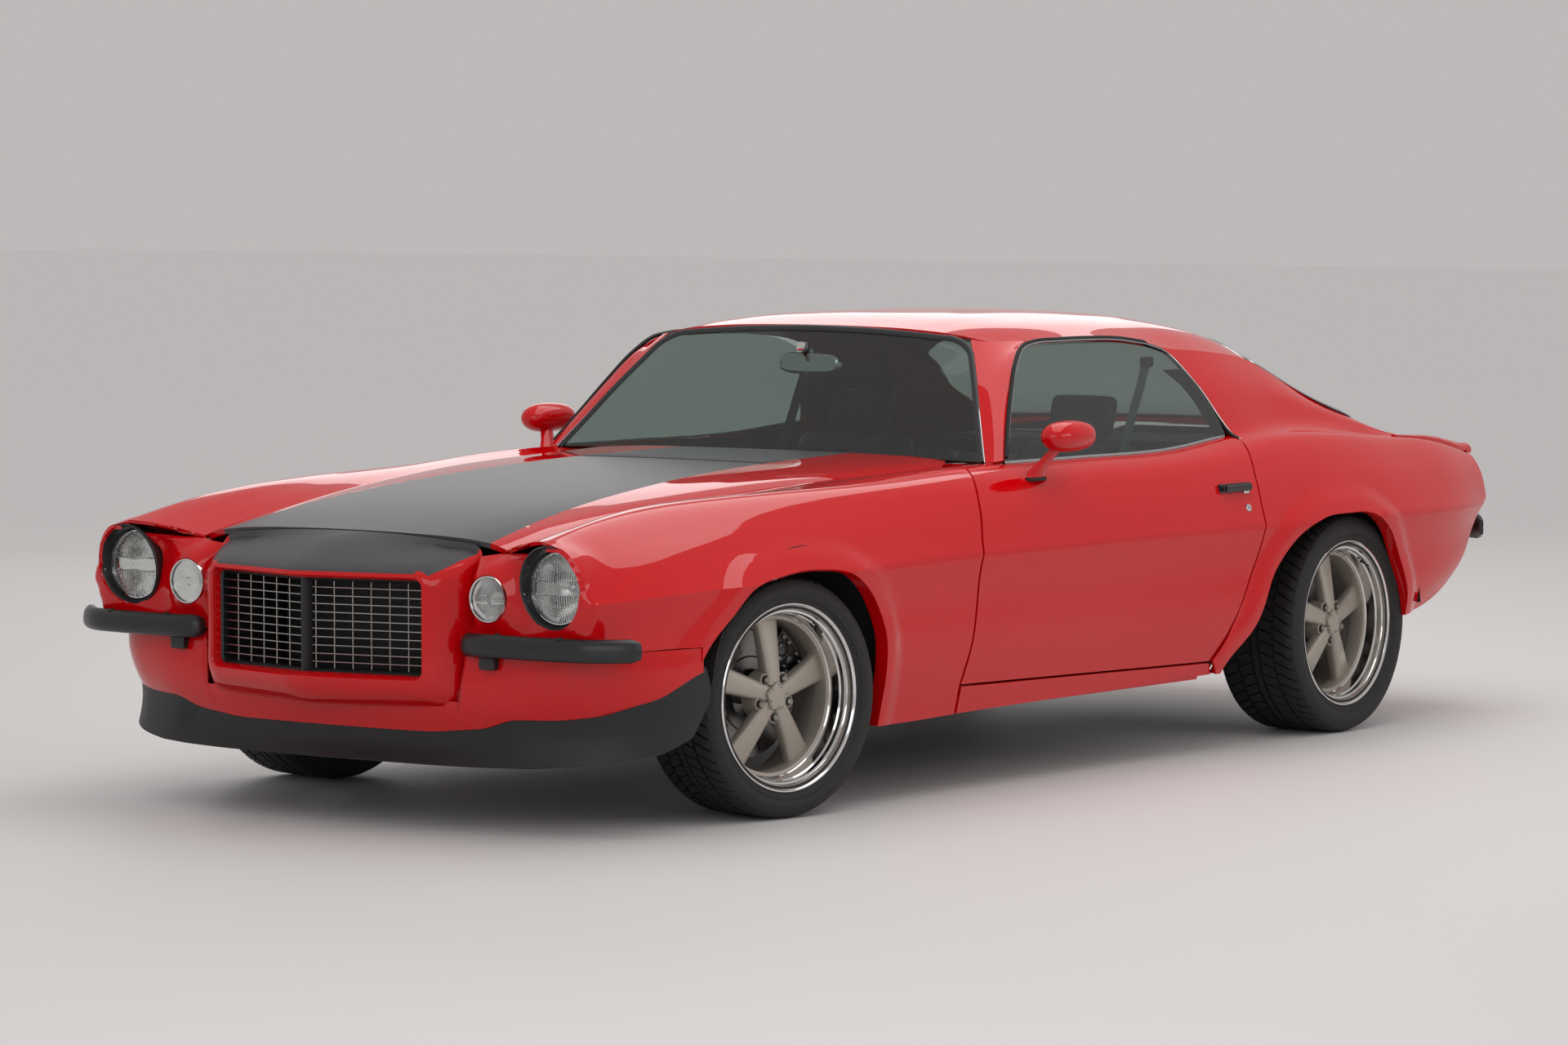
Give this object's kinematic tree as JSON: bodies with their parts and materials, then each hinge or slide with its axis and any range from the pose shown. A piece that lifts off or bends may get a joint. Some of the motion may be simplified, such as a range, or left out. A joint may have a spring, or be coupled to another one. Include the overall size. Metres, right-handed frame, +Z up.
{
  "type": "muscle car",
  "caption": "Two-door fastback muscle car with opening doors, hood and boot lid, steering front wheels and free-rolling five-spoke wheels.",
  "frame": {"origin": "on the floor under the middle of the car's bounding box", "axes": "+X to the car's left (driver's) side, -Y to its front, +Z up"},
  "size_m": [1.936, 4.774, 1.262],
  "materials": {
    "body_paint": "gloss clear-coated paint",
    "chassis_black": "satin black underbody paint",
    "forged_steel": "satin painted iron",
    "cast_engine": "cast and painted",
    "radiator_core": "finned core",
    "plated_steel": "aluminised",
    "satin_black": "satin black powder coat",
    "grille_metal": "satin",
    "lamp_glass": "clear pressed glass",
    "red_lens": "moulded lens",
    "window_glass": "tinted",
    "trim_cloth": "stitched vinyl",
    "cabin_plastic": "grained",
    "wheel_alloy": "satin cast spokes, polished lip",
    "tyre_rubber": "matt rubber"
  },
  "bodies": {
    "root": {"chin_spoiler": "satin_black", "cowl": "chassis_black", "dashboard": "cabin_plastic", "driveline": "forged_steel", "engine": "cast_engine", "engine_bay": "chassis_black", "exhaust": "plated_steel", "fender_left": "body_paint", "fender_right": "body_paint", "floor_pan": "chassis_black", "front_bumpers": "satin_black", "front_subframe": "forged_steel", "front_valance": "body_paint", "fuel_tank": "plated_steel", "grille": "grille_metal", "grille_surround": "body_paint", "headlamps": "lamp_glass", "lamp_buckets": "satin_black", "lamp_panel": "body_paint", "quarter_left": "body_paint", "quarter_right": "body_paint", "radiator": "radiator_core", "rear_bumper": "satin_black", "rear_seat": "trim_cloth", "rear_shelf": "chassis_black", "rear_valance": "chassis_black", "rear_wheel_tubs": "chassis_black", "rear_window": "window_glass", "rockers": "body_paint", "roof": "body_paint", "seat_left": "trim_cloth", "seat_right": "trim_cloth", "spoiler_ends": "body_paint", "steering_wheel": "cabin_plastic", "tail_lamps": "red_lens", "tail_panel": "body_paint", "turn_lamps": "lamp_glass", "windscreen": "window_glass"},
    "hood": {"hood": "body_paint"},
    "decklid": {"decklid": "body_paint", "rear_spoiler": "body_paint"},
    "door_left": {"door_left": "body_paint", "door_glass_left": "window_glass", "mirror_left": "body_paint"},
    "door_right": {"door_right": "body_paint", "door_glass_right": "window_glass", "mirror_right": "body_paint"},
    "knuckle_left": {"knuckle_left": "forged_steel"},
    "knuckle_right": {"knuckle_right": "forged_steel"},
    "wheel_fl": {"wheel_fl": "wheel_alloy", "tyre_fl": "tyre_rubber"},
    "wheel_fr": {"wheel_fr": "wheel_alloy", "tyre_fr": "tyre_rubber"},
    "wheel_rl": {"wheel_rl": "wheel_alloy", "tyre_rl": "tyre_rubber"},
    "wheel_rr": {"wheel_rr": "wheel_alloy", "tyre_rr": "tyre_rubber"}
  },
  "joints": [
    {"name": "door_left_hinge", "type": "hinge", "parent": "root", "child": "door_left", "pos_m": [0.915, -0.612, 0.5], "axis": [0, 0, -1], "range_deg": [0, 65]},
    {"name": "door_right_hinge", "type": "hinge", "parent": "root", "child": "door_right", "pos_m": [-0.915, -0.612, 0.5], "axis": [0, 0, 1], "range_deg": [0, 65]},
    {"name": "hood_hinge", "type": "hinge", "parent": "root", "child": "hood", "pos_m": [0, -0.398, 0.884], "axis": [-1, 0, 0], "range_deg": [0, 50]},
    {"name": "decklid_hinge", "type": "hinge", "parent": "root", "child": "decklid", "pos_m": [0, 1.795, 0.895], "axis": [1, 0, 0], "range_deg": [0, 60]},
    {"name": "steer_left", "type": "hinge", "parent": "root", "child": "knuckle_left", "pos_m": [0.68, -1.42, 0.314], "axis": [0, 0, 1], "range_deg": [-22, 38]},
    {"name": "steer_right", "type": "hinge", "parent": "root", "child": "knuckle_right", "pos_m": [-0.68, -1.42, 0.314], "axis": [0, 0, 1], "range_deg": [-22, 38]},
    {"name": "spin_fl", "type": "hinge", "parent": "knuckle_left", "child": "wheel_fl", "pos_m": [0.7691, -1.43268, 0.314], "axis": [0.99, -0.1409, 0], "continuous": true},
    {"name": "spin_fr", "type": "hinge", "parent": "knuckle_right", "child": "wheel_fr", "pos_m": [-0.7691, -1.40732, 0.314], "axis": [0.99, -0.1409, 0], "continuous": true},
    {"name": "spin_rl", "type": "hinge", "parent": "root", "child": "wheel_rl", "pos_m": [0.754, 1.313, 0.325], "axis": [1, 0, 0], "continuous": true},
    {"name": "spin_rr", "type": "hinge", "parent": "root", "child": "wheel_rr", "pos_m": [-0.754, 1.313, 0.325], "axis": [1, 0, 0], "continuous": true}
  ],
  "couplings": [
    {"joint": "steer_right", "follows": "steer_left", "ratio": 1}
  ]
}
